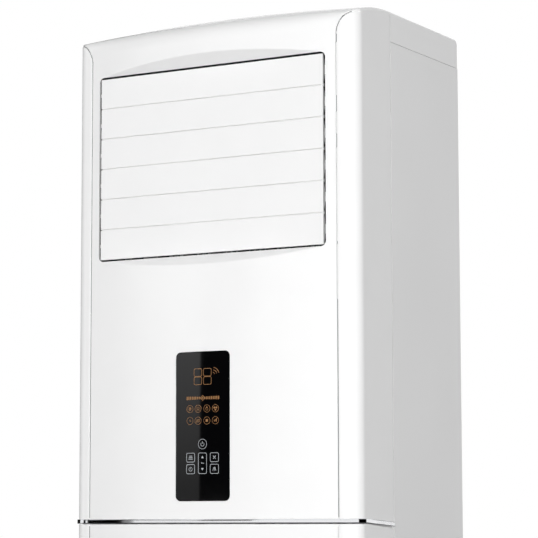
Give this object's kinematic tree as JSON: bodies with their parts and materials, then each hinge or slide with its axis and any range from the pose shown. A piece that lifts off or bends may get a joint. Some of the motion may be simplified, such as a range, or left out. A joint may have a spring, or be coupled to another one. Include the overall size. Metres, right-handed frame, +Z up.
{
  "type": "floor-standing air conditioner indoor unit",
  "caption": "Tall cabinet indoor unit of a split air conditioner with bowed front, turning outlet louvres, display and tilting intake panel.",
  "frame": {"origin": "on the floor under the middle of the unit's outer box", "axes": "+Z up, front faces -Y, +X to the right of someone facing the front"},
  "size_m": [0.544, 0.402, 1.847],
  "materials": {
    "white_gloss": "glossy moulded white",
    "cabinet_paint": "satin white powder coat",
    "louvre_white": "semi-gloss white",
    "black_glass": "mirror gloss black acrylic",
    "chrome": "polished trim",
    "dark_plastic": "matt black",
    "foam_duct": "matt moulded polystyrene and ABS",
    "galvanised": "galvanised sheet",
    "aluminium": "mill finish",
    "copper": "bright copper tube",
    "brass": "machined brass",
    "board_green": "solder mask",
    "hose_grey": "soft grey hose",
    "filter_grey": "grey net in a plastic frame"
  },
  "bodies": {
    "cabinet": {"base_pan": "galvanised", "side_panel_left": "cabinet_paint", "side_panel_right": "cabinet_paint", "back_panel": "cabinet_paint", "top_cover": "white_gloss", "pipe_grommet": "dark_plastic", "cable_gland": "dark_plastic", "upper_front_panel": "white_gloss", "trim_strip": "chrome", "display_glass": "black_glass", "display_board": "board_green", "outlet_duct": "dark_plastic", "louvre_motor": "galvanised", "vane_motor": "galvanised", "blower_housing": "galvanised", "inlet_ring": "galvanised", "motor_bracket": "galvanised", "fan_motor": "aluminium", "blower_deck": "galvanised", "evaporator_fins": "aluminium", "coil_plate_left": "galvanised", "coil_plate_right": "galvanised", "coil_rail": "galvanised", "drain_pan": "foam_duct", "drain_hose": "hose_grey", "gas_pipe": "copper", "liquid_pipe": "copper", "control_box": "galvanised", "control_box_cover": "galvanised", "main_board": "board_green", "terminal_block": "dark_plastic", "run_capacitor": "aluminium"},
    "intake_panel": {"lower_front_panel": "white_gloss", "intake_grille": "white_gloss", "air_filter": "filter_grey"},
    "blower_wheel": {"fan_wheel": "galvanised", "fan_shaft": "galvanised", "fan_nut": "brass", "wheel_plate": "galvanised"},
    "louvre_blade_1": {"louvre_1": "louvre_white"},
    "louvre_blade_2": {"louvre_2": "louvre_white"},
    "louvre_blade_3": {"louvre_3": "louvre_white"},
    "louvre_blade_4": {"louvre_4": "louvre_white"},
    "louvre_blade_5": {"louvre_5": "louvre_white"},
    "louvre_blade_6": {"louvre_6": "louvre_white"},
    "louvre_bar": {"louvre_link": "dark_plastic"},
    "vane_blade_1": {"vane_1": "dark_plastic"},
    "vane_blade_2": {"vane_2": "dark_plastic"},
    "vane_blade_3": {"vane_3": "dark_plastic"},
    "vane_blade_4": {"vane_4": "dark_plastic"},
    "vane_blade_5": {"vane_5": "dark_plastic"},
    "vane_blade_6": {"vane_6": "dark_plastic"},
    "vane_blade_7": {"vane_7": "dark_plastic"},
    "vane_blade_8": {"vane_8": "dark_plastic"},
    "vane_bar": {"vane_link": "dark_plastic"}
  },
  "joints": [
    {"name": "intake_panel_tilt", "type": "hinge", "parent": "cabinet", "child": "intake_panel", "pos_m": [0, -0.157, 0.068], "axis": [1, 0, 0], "range_deg": [0, 25]},
    {"name": "fan_spin", "type": "hinge", "parent": "cabinet", "child": "blower_wheel", "pos_m": [0, -0.002, 0.385], "axis": [0, 1, 0], "continuous": true},
    {"name": "louvre_1_turn", "type": "hinge", "parent": "cabinet", "child": "louvre_blade_1", "pos_m": [0, -0.1685, 1.72492], "axis": [1, 0, 0], "range_deg": [0, 85]},
    {"name": "louvre_2_turn", "type": "hinge", "parent": "cabinet", "child": "louvre_blade_2", "pos_m": [0, -0.1685, 1.67355], "axis": [1, 0, 0], "range_deg": [0, 85]},
    {"name": "louvre_3_turn", "type": "hinge", "parent": "cabinet", "child": "louvre_blade_3", "pos_m": [0, -0.1685, 1.62218], "axis": [1, 0, 0], "range_deg": [0, 85]},
    {"name": "louvre_4_turn", "type": "hinge", "parent": "cabinet", "child": "louvre_blade_4", "pos_m": [0, -0.1685, 1.57082], "axis": [1, 0, 0], "range_deg": [0, 85]},
    {"name": "louvre_5_turn", "type": "hinge", "parent": "cabinet", "child": "louvre_blade_5", "pos_m": [0, -0.1685, 1.51945], "axis": [1, 0, 0], "range_deg": [0, 85]},
    {"name": "louvre_6_turn", "type": "hinge", "parent": "cabinet", "child": "louvre_blade_6", "pos_m": [0, -0.1685, 1.46808], "axis": [1, 0, 0], "range_deg": [0, 85]},
    {"name": "louvre_bar_turn", "type": "hinge", "parent": "louvre_blade_1", "child": "louvre_bar", "pos_m": [-0.2187, -0.15892, 1.71613], "axis": [1, 0, 0], "range_deg": [-85, 0]},
    {"name": "vane_1_turn", "type": "hinge", "parent": "cabinet", "child": "vane_blade_1", "pos_m": [-0.18375, -0.113, 1.448], "axis": [0, 0, 1], "range_deg": [-35, 35]},
    {"name": "vane_2_turn", "type": "hinge", "parent": "cabinet", "child": "vane_blade_2", "pos_m": [-0.13125, -0.113, 1.448], "axis": [0, 0, 1], "range_deg": [-35, 35]},
    {"name": "vane_3_turn", "type": "hinge", "parent": "cabinet", "child": "vane_blade_3", "pos_m": [-0.07875, -0.113, 1.448], "axis": [0, 0, 1], "range_deg": [-35, 35]},
    {"name": "vane_4_turn", "type": "hinge", "parent": "cabinet", "child": "vane_blade_4", "pos_m": [-0.02625, -0.113, 1.448], "axis": [0, 0, 1], "range_deg": [-35, 35]},
    {"name": "vane_5_turn", "type": "hinge", "parent": "cabinet", "child": "vane_blade_5", "pos_m": [0.02625, -0.113, 1.448], "axis": [0, 0, 1], "range_deg": [-35, 35]},
    {"name": "vane_6_turn", "type": "hinge", "parent": "cabinet", "child": "vane_blade_6", "pos_m": [0.07875, -0.113, 1.448], "axis": [0, 0, 1], "range_deg": [-35, 35]},
    {"name": "vane_7_turn", "type": "hinge", "parent": "cabinet", "child": "vane_blade_7", "pos_m": [0.13125, -0.113, 1.448], "axis": [0, 0, 1], "range_deg": [-35, 35]},
    {"name": "vane_8_turn", "type": "hinge", "parent": "cabinet", "child": "vane_blade_8", "pos_m": [0.18375, -0.113, 1.448], "axis": [0, 0, 1], "range_deg": [-35, 35]},
    {"name": "vane_bar_turn", "type": "hinge", "parent": "vane_blade_1", "child": "vane_bar", "pos_m": [-0.18375, -0.1, 1.441], "axis": [0, 0, 1], "range_deg": [-35, 35]}
  ],
  "couplings": [
    {"joint": "louvre_2_turn", "follows": "louvre_1_turn", "ratio": 1},
    {"joint": "louvre_3_turn", "follows": "louvre_1_turn", "ratio": 1},
    {"joint": "louvre_4_turn", "follows": "louvre_1_turn", "ratio": 1},
    {"joint": "louvre_5_turn", "follows": "louvre_1_turn", "ratio": 1},
    {"joint": "louvre_6_turn", "follows": "louvre_1_turn", "ratio": 1},
    {"joint": "louvre_bar_turn", "follows": "louvre_1_turn", "ratio": -1},
    {"joint": "vane_2_turn", "follows": "vane_1_turn", "ratio": 1},
    {"joint": "vane_3_turn", "follows": "vane_1_turn", "ratio": 1},
    {"joint": "vane_4_turn", "follows": "vane_1_turn", "ratio": 1},
    {"joint": "vane_5_turn", "follows": "vane_1_turn", "ratio": 1},
    {"joint": "vane_6_turn", "follows": "vane_1_turn", "ratio": 1},
    {"joint": "vane_7_turn", "follows": "vane_1_turn", "ratio": 1},
    {"joint": "vane_8_turn", "follows": "vane_1_turn", "ratio": 1},
    {"joint": "vane_bar_turn", "follows": "vane_1_turn", "ratio": -1}
  ]
}
